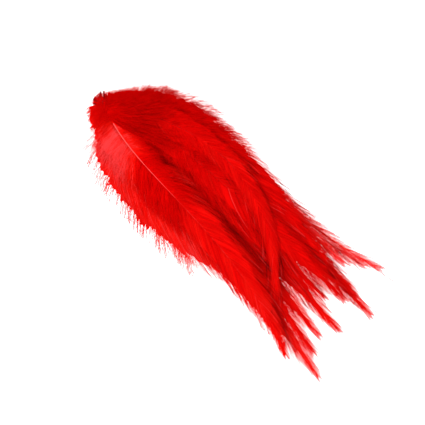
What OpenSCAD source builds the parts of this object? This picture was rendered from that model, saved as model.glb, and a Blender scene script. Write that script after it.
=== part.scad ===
// A bunch of dyed rooster saddle hackles, stitched together through their butts.
// Every feather is a quill with a flat vane towards the tip and a pad of down at the
// butt, and it turns about the stitch, which stands along Z at the origin.
// The tips lie along +X and the bunch rests on the plane z = 0.
// A feather's height depends only on the distance from the stitch, so the feathers
// lie in nested layers that never meet while they are fanned out or closed.

/* [Layers] */
// Spacing of two neighbouring feathers at the stitch
root_pitch = 0.82; // [0.80:0.01:1.00]
// Spacing of two neighbouring feathers at the longest tip
tip_pitch = 0.30; // [0.28:0.01:0.40]
// How far from the stitch the lowest feather comes down to the table
lay_down = 28; // [20:1:40]

/* [Quill] */
// Diameter of the bare quill at the stitch
butt_d = 0.75; // [0.66:0.01:0.76]
// Diameter of the shaft at the tip of the feather
tip_d = 0.12; // [0.08:0.01:0.16]
// Length of the bare quill behind the stitch
butt_len = 5; // [3:0.5:7]

/* [Barbs] */
// Thickness of the vane
vane_t = 0.12; // [0.08:0.01:0.16]
// Thickness of the pad of down
down_t = 0.30; // [0.20:0.01:0.36]
// Share of the feather's run that carries down
down_share = 0.34; // [0.28:0.01:0.40]

/* [Stitch] */
// Diameter of the sewing thread
thread_d = 0.30; // [0.20:0.02:0.34]
// Radial clearance of the thread in the quills
thread_gap = 0.05; // [0.02:0.01:0.07]
// Diameter of the knots
knot_d = 2.2; // [1.8:0.1:2.6]
// Height of a knot
knot_h = 1.0; // [0.8:0.1:1.4]

/* [Hidden] */
// One row for each feather, lowest first. The shaft is a cubic curve from the stitch
// to its tip: [tip x, tip y, sideways pull near the stitch, sideways pull towards the
// tip, widest half of the vane, widest half of the down].
FEATHERS = [
    [125, 24, 29, 12, 5.5, 8],
    [131, 28, 33, 11, 4.5, 8],
    [141, 11, 22, 13, 7.5, 11],
    [136, -3, 8, 2, 8.0, 12],
    [131, -10, 0, -4, 8.0, 12],
    [143, -23, -12, -9, 8.0, 11],
    [134, -17, -6, -4, 7.5, 11],
    [130, 13, 28, 13, 6.5, 9],
    [118, 19, 30, 17, 5.5, 9],
    [122, 3, 6, 5, 8.0, 12],
    [122, 11, 16, 12, 8.0, 12],
    [112, 15, 27, 20, 8.0, 9.5],
    [129, 8, 12, 9, 8.0, 12],
    [94, -18, -20, -15, 10.5, 9.5],
    [106, -10, 12, 36, 5.0, 10],
    [127, -26, -15, -1, 9.0, 11]
];
COUNT = len(FEATHERS);
// Distance of the longest tip from the stitch, which the layers are graded over
REACH = 150;
// The curve's two pull points, as shares of the tip's distance along X
ROOT_PULL = 0.2;
TIP_PULL = 0.6;
// Gap between a knot and the quill next to it
KNOT_GAP = 0.1;
// Half the width of the vane at its very tip
POINT_W = 0.4;
// How far the vane keeps its width towards the tip; more keeps it longer
VANE_BELLY = 3;
// Where the down starts, and where it has risen to its full width
DOWN_START = 0.02;
DOWN_FULL = 0.16;
// Where the shaft stops, so that the quill ends just short of the vane's point
SHAFT_END = 0.99;
QUILL_SIDES = 8;
QUILL_RINGS = 15;
VANE_RINGS = 14;
DOWN_RINGS = 8;

function two_digits(n) = str(n < 10 ? "0" : "", n);
function hackle(i, piece) = str("hackle_", two_digits(i + 1), "_", piece);
PIECES = ["quill", "vane", "down"];

// The shaft in plan: a cubic curve that starts at the stitch.
function pulls(f) = [[0, 0], [ROOT_PULL * f[0], f[2]], [TIP_PULL * f[0], f[3]], [f[0], f[1]]];
function shaft(f, t) =
    let (p = pulls(f), s = 1 - t)
    3 * s * s * t * p[1] + 3 * s * t * t * p[2] + t * t * t * p[3];
function shaft_slope(f, t) =
    let (p = pulls(f), s = 1 - t)
    s * s * (p[1] - p[0]) + 2 * s * t * (p[2] - p[1]) + t * t * (p[3] - p[2]);
function heading(f, t) = let (d = shaft_slope(f, t)) d / norm(d);
function sideways(f, t) = let (d = heading(f, t)) [-d[1], d[0]];

// Diameters, layer spacing and heights, each graded over the distance from the stitch.
function quill_d(share) = tip_d + (butt_d - tip_d) * pow(1 - share, 1.2);
function pitch(r) = tip_pitch + (root_pitch - tip_pitch) * pow(max(0, 1 - r / REACH), 1.4);
function lift(r) = (knot_h + KNOT_GAP) * (r < lay_down ? (1 + cos(180 * r / lay_down)) / 2 : 0);
function height(i, r) = lift(r) + quill_d(min(1, r / REACH)) / 2 + i * pitch(r);

// Half the width of the down and of the vane along the shaft.
function rise(t) = let (u = min(1, t / DOWN_FULL)) sqrt(1 - (1 - u) * (1 - u));
function down_w(f, t) =
    let (u = (t - DOWN_START) / (down_share - DOWN_START))
    rise(t) * (f[5] + (f[4] - f[5]) * u * u);
function vane_w(f, t) =
    let (u = (t - down_share) / (1 - down_share))
    POINT_W + (f[4] - POINT_W) * pow(1 - pow(u, VANE_BELLY), 0.9);

// A closed solid through rings that all have the same even number of points.
module loft(rings) {
    n = len(rings[0]);
    last = len(rings) - 1;
    sides = [
        for (j = [0:last - 1], k = [0:n - 1])
            let (a = j * n + k, b = j * n + (k + 1) % n)
            each [[a, a + n, b + n], [a, b + n, b]]
    ];
    polyhedron(
        points = [for (ring = rings, p = ring) p],
        faces = concat(sides, cap(0, n, false), cap(last * n, n, true))
    );
}

// Triangles that close a ring, in strips between its first and its second half.
function cap(first, n, far) = [
    for (j = [0:n / 2 - 2])
        let (a = first + j, b = a + 1, c = first + n - 2 - j, d = c + 1)
        each far ? [[a, d, c], [a, c, b]] : [[a, b, c], [a, c, d]]
];

// A ring round the shaft, which lies across the heading at the plan point at.
function round_ring(i, at, side, d) = [
    for (k = [0:QUILL_SIDES - 1])
        let (a = 360 * (k + 0.5) / QUILL_SIDES, across = at + side * cos(a) * d / 2)
        [across[0], across[1], height(i, norm(at)) + sin(a) * d / 2]
];

// A flat ring across the layer: its upper edge from one side to the other, and back below.
function flat_ring(i, at, side, w, t, steps) = concat(
    [for (k = [steps:-1:-steps]) layer_point(i, at + side * w * k / steps, t / 2)],
    [for (k = [-steps:steps]) layer_point(i, at + side * w * k / steps, -t / 2)]
);
function layer_point(i, at, dz) = [at[0], at[1], height(i, norm(at)) + dz];

module quill(i) {
    f = FEATHERS[i];
    start = heading(f, 0);
    behind = [for (s = [butt_len, butt_len / 2])
        round_ring(i, -start * s, sideways(f, 0), butt_d)];
    ahead = [for (k = [0:QUILL_RINGS])
        let (t = SHAFT_END * k / QUILL_RINGS)
        round_ring(i, shaft(f, t), sideways(f, t), quill_d(t))];
    color("firebrick")
    difference() {
        loft(concat(behind, ahead));
        translate([0, 0, height(i, 0) - butt_d])
            cylinder(d = thread_d + 2 * thread_gap, h = 2 * butt_d, $fn = 32);
    }
}

module vane(i) {
    f = FEATHERS[i];
    color("red")
    loft([for (k = [0:VANE_RINGS])
        let (t = down_share + (1 - down_share) * k / VANE_RINGS)
        flat_ring(i, shaft(f, t), sideways(f, t), vane_w(f, t), vane_t, 1)]);
}

module down(i) {
    f = FEATHERS[i];
    color("crimson")
    loft([for (k = [0:DOWN_RINGS])
        let (t = DOWN_START + (down_share - DOWN_START) * k / DOWN_RINGS)
        flat_ring(i, shaft(f, t), sideways(f, t), down_w(f, t), down_t, 2)]);
}

// A bead-shaped knot with a flat underside and a flat top.
module knot() {
    rotate_extrude($fn = 48) {
        square([(knot_d - knot_h) / 2, knot_h]);
        translate([(knot_d - knot_h) / 2, knot_h / 2]) circle(d = knot_h, $fn = 48);
    }
}

module stitch_thread() {
    top = height(COUNT - 1, 0) + butt_d / 2 + KNOT_GAP;
    color("darkred") {
        knot();
        cylinder(d = thread_d, h = top + knot_h / 2, $fn = 32);
        translate([0, 0, top]) knot();
    }
}

stitch_thread();
for (i = [0:COUNT - 1]) {
    quill(i);
    vane(i);
    down(i);
}
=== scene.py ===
"""Looks for the stitched bunch of red saddle hackles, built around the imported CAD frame.

Units are metres in the CAD frame: the stitch stands along Z at the origin, the tips lie
along +X and the bunch rests on z = 0. Every feather is rebuilt from its own CAD nodes:
the shaft follows the rings of the quill node, and the barbs reach to the outlines of the
vane and down nodes. A barb's height is read from its feather's own layer, which depends
only on the distance from the stitch, so fanned feathers still clear one another. Only the
top feather has nothing above it, and its down rises out of its layer.
"""

import math

import bpy
import numpy as np
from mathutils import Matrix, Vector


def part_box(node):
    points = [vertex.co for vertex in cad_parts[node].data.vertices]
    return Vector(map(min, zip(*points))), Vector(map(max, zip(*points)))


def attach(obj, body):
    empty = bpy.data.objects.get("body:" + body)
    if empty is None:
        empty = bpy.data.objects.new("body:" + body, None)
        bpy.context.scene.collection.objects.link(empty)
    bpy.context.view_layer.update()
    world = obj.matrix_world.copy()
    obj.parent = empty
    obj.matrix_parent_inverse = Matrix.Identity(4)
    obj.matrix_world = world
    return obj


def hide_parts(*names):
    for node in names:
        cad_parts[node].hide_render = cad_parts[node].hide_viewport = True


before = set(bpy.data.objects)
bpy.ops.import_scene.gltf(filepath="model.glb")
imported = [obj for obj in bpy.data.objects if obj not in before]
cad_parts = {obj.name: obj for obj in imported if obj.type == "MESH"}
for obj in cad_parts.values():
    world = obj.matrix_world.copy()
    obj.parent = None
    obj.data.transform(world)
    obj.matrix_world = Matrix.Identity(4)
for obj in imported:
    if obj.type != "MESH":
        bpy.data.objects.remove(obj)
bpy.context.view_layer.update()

MM = 0.001
SEED = 4107

# The layers of the CAD model: their spacing at the stitch and at the longest tip, how far
# off that tip is, and the power by which the spacing closes up on the way.
ROOT_PITCH = 0.82 * MM
TIP_PITCH = 0.30 * MM
REACH = 150 * MM
PITCH_POWER = 1.4
LAYER_ROOM = 0.26  # share of the layer spacing that is a barb's room to rise or to fall
LEAST_HEIGHT = 0.06 * MM  # how near the table a barb may lie
BRUSH = 5 * MM  # how far the last barbs reach past the end of the shaft
SHEET = 0.05 * MM  # thickness of barbs that cling together in a sheet
SEAM = 0.1 * MM  # how far such a sheet crosses the shaft's centre line

# The camera looks straight down, and sees the tips running down and to the right.
VIEW_TURN = math.radians(43)
VIEW_SPAN = 175.8 * MM
VIEW_CENTRE = (63.4 * MM, -2.8 * MM)
VIEW_LEVEL = 6 * MM  # the height at which the picture is VIEW_SPAN wide
CAMERA_HEIGHT = 1.4

# Tones run from 0, the darkest dye, to 1, the pink of down that took little dye. Part of the tone
# is painted light and painted shade, marked where it is added.
PALE_TONE = 0.91
FRINGE_TONE = 0.28  # of the outer ends of the down beside a pale stretch

# What every feather has unless its own entry below says otherwise.
PLAIN = dict(
    web=0.12,  # where the web starts, as a share of the shaft
    vane_start=0.17,  # where the vane's barbs start
    webbing=1,  # factor on the width of the web
    spacing=0.42 * MM,  # of the vane's barbs along the shaft
    reach=(1, 1),  # the down's, on the left and on the right, as a share of the outline
    fibres=320,  # how many barbs of down each side has
    thinning=1.5,  # how quickly they grow sparser along the shaft
    down_end=0.42,  # where the down ends
)

# Each feather by its number, lowest first, with the tones of its vane and its down. The
# top one has more entries: pale, the middle and half length of a stretch of down that took
# little dye and its strength on the left; bare, where the shaft starts to show, as barbs
# cross it before that; and loft, how far its down rises.
# These tones are partly the dyes' own and partly painted light: sparse feathers such as 1 and 2
# are painted brighter for light shining through them, and 10 to 13 are painted darker as painted
# shade beside the top feather's edge.
FEATHERS = {
    1: dict(vane=0.88, down=0.50, webbing=0.3, spacing=0.7 * MM, reach=(1.12, 1), fibres=480),
    2: dict(vane=0.84, down=0.45, webbing=0.3, spacing=0.7 * MM, reach=(1.12, 1), fibres=480),
    3: dict(vane=0.55, down=0.40),
    4: dict(vane=0.50, down=0.35),
    5: dict(vane=0.50, down=0.45, reach=(1, 1.2)),
    6: dict(vane=0.60, down=0.55, reach=(1, 1.45), fibres=480, thinning=1.0),
    7: dict(vane=0.45, down=0.50, reach=(1, 1.25), fibres=480),
    8: dict(vane=0.40, down=0.30),
    9: dict(vane=0.82, down=0.35, webbing=0.7, reach=(1.12, 1), fibres=480),
    10: dict(vane=0.40, down=0.30),
    11: dict(vane=0.40, down=0.30),
    12: dict(vane=0.38, down=0.28, reach=(1.1, 1), fibres=480),
    13: dict(vane=0.42, down=0.30),
    14: dict(vane=0.80, down=0.64, down_end=0.66, reach=(1, 1.42), fibres=620, thinning=1.0),
    15: dict(vane=0.50, down=0.34),
    16: dict(vane=0.54, down=0.40, bare=9 * MM, loft=1.5 * MM, pale=(17 * MM, 9.5 * MM, 0.7),
             reach=(0.8, 1.2), web=0.24, vane_start=0.24, fibres=700),
}


# ---------------------------------------------------------------- materials


def ramp_node(tree, stops):
    """A colour ramp through (position, linear colour) stops."""
    node = tree.nodes.new("ShaderNodeValToRGB")
    elements = node.color_ramp.elements
    elements[0].position, elements[0].color = stops[0][0], (*stops[0][1], 1)
    elements[1].position, elements[1].color = stops[-1][0], (*stops[-1][1], 1)
    for position, colour in stops[1:-1]:
        elements.new(position).color = (*colour, 1)
    return node


FINE_GRAIN = 14  # how much finer the noise of the surface is than that of the colour
ROUGHNESS_SPREAD = 0.12
RELIEF = 0.04 * MM


def keratin(name, stops, roughness, grain, bump, specular, mottling):
    """Dyed keratin: the tone attribute, mottled by noise, picks a colour from stops."""
    made = bpy.data.materials.new(name)
    made.use_nodes = True
    tree = made.node_tree
    tree.nodes.clear()
    new, link = tree.nodes.new, tree.links.new
    shader = new("ShaderNodeBsdfPrincipled")
    output = new("ShaderNodeOutputMaterial")
    link(shader.outputs["BSDF"], output.inputs["Surface"])
    shader.inputs["Specular IOR Level"].default_value = specular

    place = new("ShaderNodeTexCoord")
    mottle = new("ShaderNodeTexNoise")
    mottle.inputs["Scale"].default_value = grain
    mottle.inputs["Detail"].default_value = 3.0
    link(place.outputs["Object"], mottle.inputs["Vector"])
    spread = new("ShaderNodeMapRange")
    spread.inputs["To Min"].default_value = -mottling
    spread.inputs["To Max"].default_value = mottling
    link(mottle.outputs["Fac"], spread.inputs["Value"])
    tone = new("ShaderNodeAttribute")
    tone.attribute_name = "tone"
    shifted = new("ShaderNodeMath")
    shifted.operation = "ADD"
    link(tone.outputs["Fac"], shifted.inputs[0])
    link(spread.outputs["Result"], shifted.inputs[1])
    ramp = ramp_node(tree, stops)
    link(shifted.outputs["Value"], ramp.inputs["Fac"])
    link(ramp.outputs["Color"], shader.inputs["Base Color"])

    fine = new("ShaderNodeTexNoise")
    fine.inputs["Scale"].default_value = grain * FINE_GRAIN
    link(place.outputs["Object"], fine.inputs["Vector"])
    rough = new("ShaderNodeMapRange")
    rough.inputs["To Min"].default_value = roughness - ROUGHNESS_SPREAD
    rough.inputs["To Max"].default_value = roughness + ROUGHNESS_SPREAD
    link(fine.outputs["Fac"], rough.inputs["Value"])
    link(rough.outputs["Result"], shader.inputs["Roughness"])
    relief = new("ShaderNodeBump")
    relief.inputs["Strength"].default_value = bump
    relief.inputs["Distance"].default_value = RELIEF
    link(fine.outputs["Fac"], relief.inputs["Height"])
    link(relief.outputs["Normal"], shader.inputs["Normal"])
    return made


# Linear colours by tone: of the barbs, of the shafts and of the thread.
DYE = [
    (0.00, (0.09, 0.0020, 0.0020)),
    (0.10, (0.34, 0.0006, 0.0005)),
    (0.30, (0.58, 0.0005, 0.0004)),
    (0.55, (0.70, 0.0014, 0.0010)),
    (0.80, (0.84, 0.0080, 0.0040)),
    (1.00, (0.90, 0.0520, 0.0540)),
]
HORN = [
    (0.00, (0.045, 0.0015, 0.0015)),
    (0.25, (0.26, 0.0020, 0.0020)),
    (0.60, (0.66, 0.0060, 0.0050)),
    (1.00, (0.90, 0.0900, 0.0850)),
]
YARN = [(0.0, (0.12, 0.001, 0.001)), (1.0, (0.42, 0.004, 0.004))]
# Each look's roughness, grain, bump, specular and mottling.
VANE = keratin("dyed_vane", DYE, 0.55, 220, 0.25, 0.01, 0.08)
DOWN = keratin("dyed_down", DYE, 0.75, 300, 0.15, 0.0, 0.12)
QUILL = keratin("dyed_horn", HORN, 0.45, 500, 0.20, 0.04, 0.10)
THREAD = keratin("sewing_thread", YARN, 0.65, 900, 0.50, 0.10, 0.30)


# ---------------------------------------------------------------- meshes


def add_piece(name, solid, tones, look, body, node):
    """A smooth mesh of (points, quads, triangles) that rides on body and replaces node."""
    points, quads, triangles = solid
    loops = np.concatenate([quads.ravel(), triangles.ravel()]).astype(np.int32)
    starts = np.concatenate(
        [np.arange(len(quads)) * 4, len(quads) * 4 + np.arange(len(triangles)) * 3]
    )
    mesh = bpy.data.meshes.new(name)
    mesh.vertices.add(len(points))
    mesh.vertices.foreach_set("co", points.astype(np.float32).ravel())
    mesh.loops.add(len(loops))
    mesh.loops.foreach_set("vertex_index", loops)
    mesh.polygons.add(len(starts))
    mesh.polygons.foreach_set("loop_start", starts.astype(np.int32))
    mesh.polygons.foreach_set("use_smooth", np.ones(len(starts), bool))
    tone = mesh.attributes.new("tone", "FLOAT", "POINT")
    tone.data.foreach_set("value", np.asarray(tones, np.float32))
    mesh.update(calc_edges=True)
    mesh.validate()
    mesh.materials.append(look)
    piece = bpy.data.objects.new(name, mesh)
    bpy.context.scene.collection.objects.link(piece)
    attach(piece, body)
    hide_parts(node)


def unit(vectors):
    """The vectors at length 1; one without length stays as it is."""
    return vectors / np.maximum(np.linalg.norm(vectors, axis=-1, keepdims=True), 1e-12)


def tubes(paths, widths, rolls=None, sides=3, flatness=0.5, up=(0.0, 0.0, 1.0)):
    """Closed tubes along paths (tube, station, 3), as (points, quads, triangles).

    widths is (tube, station). flatness is a section's height as a share of its width,
    rolls, one angle for each tube, turns the section about the path, and up is a direction
    that no path runs in.
    """
    count, stations, _ = paths.shape
    heading = unit(np.gradient(paths, axis=1))
    across = unit(np.cross(np.array(up), heading))
    over = np.cross(heading, across)
    rolls = np.zeros(count) if rolls is None else rolls
    cosine, sine = np.cos(rolls)[:, None, None], np.sin(rolls)[:, None, None]
    across, over = across * cosine + over * sine, over * cosine - across * sine
    turn = 2 * np.pi * np.arange(sides) / sides + np.pi / 2
    half = widths[:, :, None] / 2
    ring = np.stack(
        [
            paths + across * half * math.cos(a) + over * half * flatness * math.sin(a)
            for a in turn
        ],
        axis=2,
    )
    index = np.arange(count * stations * sides).reshape(count, stations, sides)
    after = np.roll(index, -1, axis=2)
    quads = np.stack([index[:, :-1], after[:, :-1], after[:, 1:], index[:, 1:]], -1)
    fan = [[0, k + 1, k] for k in range(1, sides - 1)]
    near = index[:, 0][:, fan]
    far = index[:, -1][:, fan][..., ::-1]
    triangles = np.concatenate([near.reshape(-1, 3), far.reshape(-1, 3)])
    return ring.reshape(-1, 3), quads.reshape(-1, 4), triangles


def joined(parts):
    """Several (points, quads, triangles) as one."""
    firsts = np.cumsum([0] + [len(points) for points, _, _ in parts])
    points = np.concatenate([part[0] for part in parts])
    quads = np.concatenate([part[1] + first for part, first in zip(parts, firsts)])
    triangles = np.concatenate([part[2] + first for part, first in zip(parts, firsts)])
    return points, quads, triangles


# ---------------------------------------------------------------- reading the frame


def corners(node):
    """The different vertices of a CAD node."""
    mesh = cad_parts[node].data
    found = np.zeros(len(mesh.vertices) * 3, np.float32)
    mesh.vertices.foreach_get("co", found)
    return np.unique(found.reshape(-1, 3).astype(float).round(6), axis=0)


def smooth_route(knots, step):
    """Hermite spans through the knots, with centred slopes, in steps of about step."""
    span = np.linalg.norm(np.diff(knots, axis=0), axis=1)
    at = np.concatenate([[0], np.cumsum(span)])
    slope = np.gradient(knots, at, axis=0)
    fine = np.linspace(0, at[-1], int(at[-1] / step))
    cell = np.clip(np.searchsorted(at, fine, side="right") - 1, 0, len(span) - 1)
    wide = span[cell][:, None]
    u = ((fine - at[cell]) / span[cell])[:, None]
    return (
        (2 * u**3 - 3 * u**2 + 1) * knots[cell]
        + (u**3 - 2 * u**2 + u) * wide * slope[cell]
        + (3 * u**2 - 2 * u**3) * knots[cell + 1]
        + (u**3 - u**2) * wide * slope[cell + 1]
    )


class Shaft:
    """A feather's centre line, read from the rings of its quill node."""

    LEAD = (4 * MM, 12 * MM)  # the stretch that shows which way the shaft sets out
    FIRST_RING = 1 * MM  # the first ring ahead of the bore is farther than this
    RING_GAP = 1.2 * MM  # a wider gap than this parts two rings
    BORE = 0.25 * MM  # a radius just outside the bore for the thread
    STEP = 0.4 * MM  # between stations of the centre line
    TIP_STATIONS = 12  # whose slope carries on past the tip
    WINDOW = 2 * MM  # the stretch in which an outline's vertex has to be the widest
    NEARLY = 0.99  # the share of the widest that counts as the widest

    def __init__(self, name):
        found = corners(f"{name}_quill")
        reach = np.hypot(found[:, 0], found[:, 1])
        tip = found[reach.argmax(), :2]
        leading = (reach > self.LEAD[0]) & (reach < self.LEAD[1]) & (found[:, :2] @ tip > 0)
        self.lead = unit(unit(found[leading, :2]).mean(0))
        ahead = found[(found[:, :2] @ self.lead > 0) & (reach > self.FIRST_RING)]
        ahead = ahead[np.hypot(ahead[:, 0], ahead[:, 1]).argsort()]
        gaps = np.diff(np.hypot(ahead[:, 0], ahead[:, 1])) > self.RING_GAP
        rings = np.split(ahead, np.nonzero(gaps)[0] + 1)
        bore = found[reach < self.BORE]
        stitch = (0, 0, (bore[:, 2].min() + bore[:, 2].max()) / 2)
        knots = np.array([stitch, *[(ring.min(0) + ring.max(0)) / 2 for ring in rings]])
        self.points = smooth_route(knots, self.STEP)
        steps = np.linalg.norm(np.diff(self.points, axis=0), axis=1)
        self.at = np.concatenate([[0], np.cumsum(steps)])
        self.length = self.at[-1]
        self.butt = np.abs(found[:, :2] @ self.lead)[found[:, :2] @ self.lead < 0].max()
        self.slope = unit(np.gradient(self.points[:, :2], self.at, axis=0))

    def level(self, xy):
        """The height of this feather's layer at places in plan, even past its tip."""
        reach = np.hypot(self.points[:, 0], self.points[:, 1])
        heights = self.points[:, 2]
        back = -self.TIP_STATIONS
        slope = (heights[-1] - heights[back]) / (reach[-1] - reach[back])
        far = np.hypot(xy[..., 0], xy[..., 1])
        return np.interp(far, reach, heights) + slope * np.maximum(far - reach[-1], 0)

    def plan(self, along, aside):
        """Places in plan from distances along the shaft and to its left."""
        inside = np.clip(along, 0, self.length)
        place = np.stack([np.interp(inside, self.at, self.points[:, k]) for k in (0, 1)], -1)
        ahead = unit(np.stack([np.interp(inside, self.at, self.slope[:, k]) for k in (0, 1)], -1))
        left = np.stack([-ahead[..., 1], ahead[..., 0]], -1)
        return place + ahead * (along - inside)[..., None] + left * aside[..., None]

    def outline(self, name):
        """The feather's half widths, as (distances along the shaft, half widths)."""
        found = np.concatenate([corners(f"{name}_down"), corners(f"{name}_vane")])
        gap = found[:, None, :2] - self.points[None, :, :2]
        nearest = np.hypot(gap[..., 0], gap[..., 1]).argmin(1)
        wide = np.hypot(*gap[np.arange(len(found)), nearest].T)
        at = self.at[nearest]
        widest = [wide[np.abs(at - place) < self.WINDOW].max() for place in at]
        outer = wide >= np.array(widest) * self.NEARLY
        order = at[outer].argsort()
        past = self.length + BRUSH
        return np.append(at[outer][order], past), np.append(wide[outer][order], 0)


def room(xy):
    """How far a barb may leave its layer, up or down, without meeting the next one."""
    share = np.clip(1 - np.hypot(xy[..., 0], xy[..., 1]) / REACH, 0, 1)
    return LAYER_ROOM * (TIP_PITCH + (ROOT_PITCH - TIP_PITCH) * share**PITCH_POWER)


# ---------------------------------------------------------------- barbs

# Each kind of barb has a function that grows it on one side of a feather, 1 for the left
# and -1 for the right, and that returns a solid with the tone of each of its points.

VANE_STRAIGHTEN = 0.7  # share of its lean that a vane's barb has lost at its tip
DOWN_STRAIGHTEN = 0.3  # the same for the down's

# The down's length is worked out as if its barbs stood between these angles to the shaft.
NARROWEST_ANGLE = 0.5
WIDEST_ANGLE = math.pi / 2


def shares(stations):
    """How far along a barb its stations are, from 0 at the root to 1 at the tip."""
    return np.linspace(0, 1, stations)[None, :]


def tufts(rng, roots, length, traits):
    """Neighbours grow in tufts of about length: each barb's tuft, and that tuft's traits."""
    count = max(2, int((roots.max() - roots.min()) / length))
    cuts = np.sort(rng.uniform(roots.min(), roots.max(), count))
    tuft = np.searchsorted(cuts, roots)
    return tuft, rng.normal(0, 1, (tuft.max() + 1, traits))[tuft]


def sweep(lean, straighten, length, stations):
    """Distances along and aside of barbs that leave at lean and bend towards the tip."""
    angle = lean[:, None] * (1 - straighten[:, None] * shares(stations))
    step = (length / (stations - 1))[:, None]
    along = np.cumsum(np.cos(angle) * step, axis=1) - np.cos(angle[:, :1]) * step
    aside = np.cumsum(np.sin(angle) * step, axis=1) - np.sin(angle[:, :1]) * step
    return along, aside


def gather(tuft, along, aside, pull):
    """Draws each tuft's barbs towards its middle, and their tips more than their roots."""
    v = shares(along.shape[1]) ** 1.6
    for path in (along, aside):
        for number in np.unique(tuft):
            member = tuft == number
            middle = path[member].mean(0)
            path[member] += (middle - path[member]) * v * pull[member][:, None]


def wave(rng, along, aside, height, fewest, most):
    """Bends each barb in plan into fewest to most waves that grow towards its tip."""
    v = shares(along.shape[1])
    for path in (along, aside):
        phase = rng.uniform(0, 2 * np.pi, (len(path), 1))
        waves = rng.uniform(fewest, most, (len(path), 1))
        path += height * v * np.sin(2 * np.pi * waves * v + phase)


def lengths_to(outline, roots, lean, straighten):
    """The length of each barb whose tip touches the outline, by halving a bracket."""
    stations = 9
    longest = 45 * MM
    halvings = 22
    along, aside = sweep(lean, straighten, np.ones_like(roots), stations)
    low, high = np.zeros_like(roots), np.full_like(roots, longest)
    for _ in range(halvings):
        middle = (low + high) / 2
        inside = aside[:, -1] * middle < np.interp(roots + along[:, -1] * middle, *outline)
        low = np.where(inside, middle, low)
        high = np.where(inside, high, middle)
    return low


def lay(shaft, along, aside, lift):
    """Paths in space of barbs in a feather's layer, raised by lift times a barb's room."""
    xy = shaft.plan(along, aside)
    z = shaft.level(xy) + room(xy) * lift
    return np.concatenate([xy, np.maximum(z, LEAST_HEIGHT)[..., None]], -1)


def tone_at(tone, style, roots, side):
    """A feather's tone at the barbs' roots, raised to pale where its down took little dye."""
    if "pale" not in style:
        return np.full_like(roots, tone)
    middle, half, left = style["pale"]
    share = np.exp(-(((roots - middle) / half) ** 4))
    return tone + (PALE_TONE - tone) * share * (left if side > 0 else 1)


def fringe(tones, v, style, side):
    """The tones, less pale at the outer ends of barbs on the left of a pale feather."""
    if "pale" not in style or side < 0:
        return tones
    return tones - (tones - FRINGE_TONE) * np.clip(1.6 * v - 0.4, 0, 1)


def vane_lean(share):
    """How far a vane's barb leans from the shaft at its root, steepest near the down."""
    return np.radians(62 - 50 * np.clip(share, 0, 1) ** 0.5)


def web_side(shaft, outline, side, style, rng):
    """One side of the web: the inner part of the vane, where the barbs hook together."""
    stations = 6
    start = style["web"] * shaft.length
    end = shaft.length - 6 * MM
    roots = np.arange(start, end, 0.55 * MM)
    share = (roots - start) / (shaft.length - start)
    _, traits = tufts(rng, roots, 4.0 * MM, 2)
    lean = vane_lean(share)
    straighten = np.full_like(roots, VANE_STRAIGHTEN)
    reach = np.interp(share, [0, 0.20, 0.45, 0.7, 1], [0.15, 0.74, 0.80, 0.66, 0.30])
    reach = reach * style["webbing"]
    reach = reach * (1 + 0.05 * traits[:, 0]) * rng.uniform(0.96, 1.04, len(roots))
    length = lengths_to(outline, roots, lean, straighten) * reach
    along, aside = sweep(lean, straighten, length, stations)
    along, aside = roots[:, None] + along, side * (aside - SEAM)
    # Every other barb lies a little higher, which ribs the sheet.
    rib = np.where(np.arange(len(roots)) % 2 == 0, 0.15, -0.15)[:, None]
    top = lay(shaft, along, aside, rib - 0.5)
    tones = tone_at(style["vane"], style, roots, side)
    tones = tones - 0.04 + 0.05 * traits[:, 1] + rng.normal(0, 0.04, len(roots))
    return slab(top, side), np.repeat(np.repeat(tones, stations), 2)


def slab(top, side):
    """A closed sheet below a grid of points, as (points, quads, triangles)."""
    bottom = top - [0, 0, SHEET]
    rows, columns, _ = top.shape
    points = np.stack([top, bottom], 2).reshape(-1, 3)
    upper = (np.arange(rows * columns) * 2).reshape(rows, columns)
    lower = upper + 1
    faces = [quad_grid(upper), quad_grid(lower)[:, ::-1]]
    rim = np.concatenate([upper[0], upper[1:, -1], upper[-1, -2::-1], upper[-2:0:-1, 0]])
    after = np.roll(rim, -1)
    faces.append(np.stack([after, rim, rim + 1, after + 1], -1))
    quads = np.concatenate(faces)
    return points, quads if side < 0 else quads[:, ::-1], np.zeros((0, 3), int)


def quad_grid(index):
    """The quads between neighbouring rows and columns of a grid of vertices."""
    quad = (index[:-1, :-1], index[:-1, 1:], index[1:, 1:], index[1:, :-1])
    return np.stack(quad, -1).reshape(-1, 4)


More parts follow.
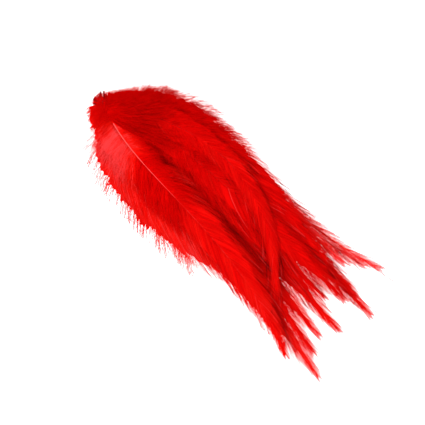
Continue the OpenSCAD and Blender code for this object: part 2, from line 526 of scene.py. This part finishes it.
def vane_side(shaft, outline, side, style, rng):
    """One side of the vane: sleek barbs, drawn together in slips that part at the edge."""
    stations = 8
    shortest = 2.5 * MM
    start = style["vane_start"] * shaft.length
    end = shaft.length - 0.3 * MM
    roots = np.arange(start, end, style["spacing"])
    roots = roots + rng.uniform(-0.12, 0.12, len(roots)) * MM
    share = (roots - start) / (shaft.length - start)
    tuft, traits = tufts(rng, roots, 3.0 * MM, 3)
    lean = vane_lean(share) * (1 + 0.05 * traits[:, 0] + rng.normal(0, 0.04, len(roots)))
    straighten = VANE_STRAIGHTEN + 0.04 * traits[:, 1] + rng.normal(0, 0.04, len(roots))
    straighten = np.clip(straighten, 0.4, 0.95)
    length = lengths_to(outline, roots, lean, straighten)
    length = length * (1 + 0.06 * traits[:, 2]) * rng.uniform(0.88, 1.12, len(roots))
    length = np.maximum(length, shortest)
    along, aside = sweep(lean, straighten, length, stations)
    gather(tuft, along, aside, rng.uniform(0.2, 0.75, len(roots)))
    cross = 0 if "bare" in style else 0.25 * MM
    v = shares(stations)
    lift = 0.4 * traits[:, 1] + rng.uniform(-0.2, 0.8, len(roots))
    lift = np.clip(lift, -1, 1)[:, None]
    paths = lay(shaft, roots[:, None] + along, side * (aside - cross * (1 - v)), lift)
    widths = 0.26 * MM * (1 - 0.75 * v**1.4) * (1 - 0.3 * share[:, None])
    widths = widths * rng.uniform(0.8, 1.15, len(roots))[:, None]
    tones = tone_at(style["vane"], style, roots, side)
    tones = tones + 0.05 * traits[:, 0] + rng.normal(0, 0.05, len(roots))
    # About one barb in twelve is painted lighter, as painted highlight streaks on the vane; a few
    # are darker at random.
    tones = tones + rng.choice([0, 0.2, -0.2], len(roots), p=[0.86, 0.08, 0.06])
    # Painted light: the tone rises towards each barb's end and the feather's tip, for light
    # shining through the thin ends.
    tones = tones[:, None] + 0.08 * v + 0.06 * share[:, None]
    return tubes(paths, widths, rng.normal(0, 0.3, len(roots))), np.repeat(tones.ravel(), 3)


def strays(shaft, outline, side, style, rng):
    """Long, thin barbs that have come loose and reach past the outline, most with dark ends."""
    count = 26
    stations = 9
    roots = shaft.length * rng.uniform(0.3, 0.97, count) ** 0.8
    lean = vane_lean(roots / shaft.length) * rng.uniform(0.8, 1.4, count)
    straighten = rng.uniform(0.5, 0.9, count)
    length = lengths_to(outline, roots, lean, straighten) + rng.uniform(2, 9, count) * MM
    along, aside = sweep(lean, straighten, length, stations)
    v = shares(stations)
    aside += 0.3 * MM * np.sin(4 * v + rng.uniform(0, 6, (count, 1))) * v
    lift = rng.uniform(-0.5, 1, count)[:, None]
    paths = lay(shaft, roots[:, None] + along, side * aside, lift)
    widths = 0.17 * MM * (1 - 0.4 * v) * np.ones((count, 1))
    ends = rng.choice([-0.2, -0.1, 0.0, 0.95], count)[:, None]
    # The outer half of a barb turns from the feather's tone to that of its end.
    tones = style["vane"] + (ends - style["vane"]) * np.clip((v - 0.5) / 0.3, 0, 1)
    return tubes(paths, widths), np.repeat(tones.ravel(), 3)


def down_lean(share):
    """How far the down's barbs lean from the shaft, in degrees; the first ones lean back."""
    return 112 - 72 * share**0.75


def down_reach(outline, side, style, roots, angle):
    """The length of the down's barbs that stand at angle to the shaft."""
    reach = np.maximum(np.interp(roots, *outline), 8.5 * MM)
    far = style["reach"][0 if side > 0 else 1]
    near = 0.62 if side > 0 else 1.05
    return reach / np.sin(angle) * np.interp(roots, [6 * MM, 20 * MM], [near, far])


def mat_side(shaft, outline, side, style, rng):
    """One side of the down's mat: its inner part, where dyeing has matted the barbs."""
    stations = 8
    end = style["down_end"] * shaft.length
    roots = np.arange(1.5 * MM, end, 0.6 * MM)
    lean = np.radians(down_lean(roots / end))
    angle = np.clip(lean * (1 - DOWN_STRAIGHTEN / 2), NARROWEST_ANGLE, WIDEST_ANGLE)
    _, traits = tufts(rng, roots, 2.5 * MM, 2)
    length = down_reach(outline, side, style, roots, angle)
    length = length * np.interp(roots / end, [0, 0.6, 1], [0.72, 0.76, 0.45])
    length = length * (1 + 0.07 * traits[:, 0]) * rng.uniform(0.88, 1.06, len(roots))
    along, aside = sweep(lean, np.full_like(roots, DOWN_STRAIGHTEN), length, stations)
    top = lay(shaft, roots[:, None] + along, side * (aside - SEAM), -0.55)
    v = shares(stations)
    tones = tone_at(style["down"], style, roots, side)[:, None]
    # Painted light: the tone rises towards the barbs' ends, for light shining through them.
    tones = fringe(tones, v, style, side) - 0.02 + 0.08 * v
    tones = tones + 0.03 * traits[:, 1:] + rng.normal(0, 0.04, (len(roots), 1))
    return slab(top, side), np.repeat(tones.ravel(), 2)


def down_side(shaft, outline, side, style, rng):
    """One side of the down: long, fine, wavy barbs that stand out from the shaft."""
    stations = 9
    end = style["down_end"] * shaft.length
    roots = end * rng.beta(1.0, style["thinning"], style["fibres"])
    roots = np.maximum(np.sort(roots), 1.2 * MM)
    count = len(roots)
    tuft, traits = tufts(rng, roots, 2.2 * MM, 3)
    lean = down_lean(roots / end) + 8 * traits[:, 0] + rng.normal(0, 11, count)
    backwards = (roots < 5 * MM) & (rng.random(count) < 0.35)
    lean = np.radians(np.where(backwards, rng.uniform(120, 172, count), lean))
    straighten = rng.normal(DOWN_STRAIGHTEN, 0.15, count)
    straighten = np.clip(straighten, -0.1, 0.7) * ~backwards
    angle = np.clip(lean * (1 - straighten / 2), NARROWEST_ANGLE, WIDEST_ANGLE)
    length = down_reach(outline, side, style, roots, angle)
    length = length * rng.uniform(0.84, 1.10, count) * (1 + 0.13 * traits[:, 1])
    length = length * np.where(backwards, 0.6, 1)
    along, aside = sweep(lean, straighten, length, stations)
    gather(tuft, along, aside, rng.uniform(0.0, 0.7, count) * ~backwards)
    wave(rng, along, aside, 0.45 * MM, 1.0, 2.6)
    v = shares(stations)
    bare = style.get("bare", shaft.length)
    cross = np.where(roots < bare, 0.8 * MM, 0)[:, None]
    lift = rng.uniform(-0.2, 1, count)[:, None] * (0.4 + 0.6 * v)
    # The ends of the pale side droop into the spacing that the barbs below leave free.
    if "pale" in style and side > 0:
        lift = lift - 1.6 * v**2
    paths = lay(shaft, roots[:, None] + along, side * (aside - cross * (1 - v)), lift)
    loft = style.get("loft", 0) * np.where(roots < bare, rng.uniform(0.2, 1, count), 0.2)
    paths[..., 2] += loft[:, None] * np.sin(np.pi * v**0.7)
    widths = 0.20 * MM * (1 - 0.5 * v) * rng.uniform(0.7, 1.2, count)[:, None]
    tones = tone_at(style["down"], style, roots, side)
    tones = tones + 0.05 * traits[:, 2] + rng.normal(0, 0.07, count)
    # Painted light: the tone rises towards the barbs' ends, for light shining through them.
    tones = fringe(tones[:, None] + 0.10 * v, v, style, side)
    return tubes(paths, widths, rng.normal(0, 0.6, count), 3, 0.7), np.repeat(tones.ravel(), 3)


def mop_side(shaft, outline, side, style, rng):
    """Loose down on one side of the uppermost butt; on the left it hides the butts below."""
    stations = 8
    short, long = 110, 560 if side > 0 else 0
    count = short + long
    roots = rng.uniform(0.8, 6.5, count) * MM
    lean = np.radians([*rng.uniform(50, 172, short), *rng.uniform(22, 110, long)])
    length = np.array([*rng.uniform(5, 10.5, short), *rng.uniform(9, 24, long)]) * MM
    length = length * np.interp(lean, np.radians([20, 50, 80]), [1.5, 1.4, 1.0])
    along, aside = sweep(lean, rng.uniform(-0.1, 0.35, count), length, stations)
    wave(rng, along, aside, 0.6 * MM, 0.8, 2.0)
    v = shares(stations)
    paths = lay(shaft, roots[:, None] + along, side * (aside - 1.2 * MM * (1 - v)), v * 0)
    height = rng.uniform(0.6, 2.2, count)[:, None] * MM
    paths[..., 2] += height * np.sin(np.pi * np.clip(0.2 + 0.8 * v, 0, 1) ** 0.9)
    widths = 0.21 * MM * (1 - 0.55 * v) * rng.uniform(0.7, 1.2, count)[:, None]
    # Painted light: the tone rises towards the barbs' ends, for light shining through them.
    tones = 0.30 + rng.normal(0, 0.07, count)[:, None] + 0.2 * v
    return tubes(paths, widths, rng.normal(0, 0.6, count), 3, 0.7), np.repeat(tones.ravel(), 3)


# ---------------------------------------------------------------- feathers


def make_barbs(name, shaft, outline, style, rng, piece, node, look, kinds):
    """One piece of both sides of every kind of barb in kinds."""
    grown = [kind(shaft, outline, side, style, rng) for kind in kinds for side in (1, -1)]
    solid = joined([solid for solid, _ in grown])
    tones = np.concatenate([tones for _, tones in grown])
    add_piece(f"{name}_{piece}", solid, tones, look, name, f"{name}_{node}")


def make_shaft(name, shaft, style):
    """The quill: a cut butt, then a shaft that tapers to a hair."""
    sides = 10
    cut = 0.94 * shaft.butt
    along = np.concatenate([[-shaft.butt, -cut], np.arange(-4, 0, 1) * MM])
    along = np.concatenate([along[along < 0], np.arange(0, shaft.length, 1.2 * MM)])
    along = np.unique(along)
    xy = shaft.plan(along, np.zeros_like(along))
    points = np.concatenate([xy, shaft.level(xy)[:, None]], -1)[None]
    # A taper like the CAD quill's, but slimmer, as the barbs hide some of a shaft.
    share = np.clip(along / shaft.length, 0, 1)
    widths = (0.12 + 0.63 * (1 - share) ** 1.2) * MM
    widths = widths * np.interp(along, [2 * MM, 12 * MM, shaft.length], [0.92, 0.70, 0.60])
    widths[0] *= 0.75
    # The top feather's bare shaft is pale. The shafts of covered feathers are painted darker, as
    # painted shade under the barbs that lie over them.
    pale, late = (1.0, 0.62) if "bare" in style else (0.24, 0.42)
    stops = [-4 * MM, 2 * MM, 9 * MM, 0.25 * shaft.length, 0.4 * shaft.length]
    tones = np.repeat(np.interp(along, stops, [0.05, 0.3, pale, pale * 0.9, late]), sides)
    solid = tubes(points, widths[None], None, sides, 0.8)
    add_piece(f"{name}_shaft", solid, tones, QUILL, name, f"{name}_quill")


def make_feathers():
    """Every feather as a shaft, its barbs and its fluff, each with its own random draws."""
    for number, own in FEATHERS.items():
        name = f"hackle_{number:02d}"
        style = {**PLAIN, **own}
        rng = np.random.default_rng(SEED + number)
        shaft = Shaft(name)
        make_shaft(name, shaft, style)
        outline = shaft.outline(name)
        kinds = (web_side, vane_side, strays)
        make_barbs(name, shaft, outline, style, rng, "barbs", "vane", VANE, kinds)
        kinds = (mat_side, down_side, mop_side) if "loft" in style else (mat_side, down_side)
        make_barbs(name, shaft, outline, style, rng, "fluff", "down", DOWN, kinds)


# ---------------------------------------------------------------- stitch

PLY_OFFSET = 0.065 * MM  # from the thread's centre to that of a ply
PLY_WIDTH = 0.15 * MM
PLY_LAY = 0.8 * MM  # length of the thread in which a ply goes round once
KNOT = 1.0 * MM  # height of a knot
KNOT_CORD = 0.26 * MM
KNOT_TURNS = 9


def make_thread():
    """Two-ply thread through the butts, with a wound knot at each end."""
    low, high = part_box("stitch_thread")
    run = np.linspace(low.z + KNOT / 2, high.z - KNOT / 2, 220)
    turn = run / PLY_LAY * 2 * np.pi
    plies = [
        np.stack([PLY_OFFSET * np.cos(turn + a), PLY_OFFSET * np.sin(turn + a), run], -1)
        for a in (0, np.pi)
    ]
    parts = [tubes(np.array(plies), np.full((2, len(run)), PLY_WIDTH), None, 6, 1.0, (1, 0, 0))]
    share = np.linspace(0, 1, 300)
    wind = share * KNOT_TURNS * 2 * np.pi
    belly = (0.42 + 0.50 * np.sin(np.pi * share) ** 0.7) * MM
    for foot in (low.z, high.z - KNOT):
        rise = foot + (0.14 + 0.72 * share) * MM
        coil = np.stack([belly * np.cos(wind), belly * np.sin(wind), rise], -1)
        parts.append(tubes(coil[None], np.full((1, len(share)), KNOT_CORD), None, 7, 1.0))
    solid = joined(parts)
    tones = 0.5 + 0.5 * np.sin(np.arange(len(solid[0])) * 0.9)
    add_piece("stitch_twist", solid, tones, THREAD, "stitch", "stitch_thread")


# ---------------------------------------------------------------- stage

MIDDLE = 60 * MM  # a place near the middle of the bunch, along X


def make_floor():
    """A white table top just below the bunch."""
    bpy.ops.mesh.primitive_plane_add(size=3, location=(MIDDLE, 0, -0.05 * MM))
    floor = bpy.context.object
    floor.name = "table_top"
    white = bpy.data.materials.new("table_white")
    white.use_nodes = True
    shader = white.node_tree.nodes["Principled BSDF"]
    shader.inputs["Base Color"].default_value = (0.92, 0.92, 0.92, 1)
    shader.inputs["Roughness"].default_value = 0.9
    shader.inputs["Specular IOR Level"].default_value = 0.0
    shader.inputs["Emission Color"].default_value = (1, 1, 1, 1)
    shader.inputs["Emission Strength"].default_value = 1.0
    floor.data.materials.append(white)


def make_lights():
    """A bright even surround, and a soft lamp high above the -X and -Y corner of the bunch."""
    scene = bpy.context.scene
    scene.view_settings.view_transform = "Standard"
    world = bpy.data.worlds.new("surround")
    world.use_nodes = True
    world.node_tree.nodes["Background"].inputs["Color"].default_value = (1, 1, 1, 1)
    world.node_tree.nodes["Background"].inputs["Strength"].default_value = 0.92
    scene.world = world
    lamp = bpy.data.lights.new("soft_lamp", "AREA")
    lamp.size = 0.5
    lamp.energy = 6.5
    key = bpy.data.objects.new("soft_lamp", lamp)
    key.location = (-0.20, -0.38, 0.70)
    aim = np.array([MIDDLE, 0, 0]) - np.array(key.location)
    tilt = math.atan2(math.hypot(aim[0], aim[1]), -aim[2])
    key.rotation_euler = (tilt, 0, math.atan2(aim[1], aim[0]) - math.pi / 2)
    scene.collection.objects.link(key)


def make_camera():
    """A camera that looks straight down and takes in VIEW_SPAN at VIEW_LEVEL."""
    lens = bpy.data.cameras.new("camera")
    lens.sensor_width = 36
    lens.lens = lens.sensor_width * (CAMERA_HEIGHT - VIEW_LEVEL) / VIEW_SPAN
    lens.clip_end = 10
    camera = bpy.data.objects.new("camera", lens)
    camera.location = (*VIEW_CENTRE, CAMERA_HEIGHT)
    camera.rotation_euler = (0, 0, VIEW_TURN)
    bpy.context.scene.collection.objects.link(camera)
    bpy.context.scene.camera = camera


make_camera()
make_feathers()
make_thread()
make_floor()
make_lights()
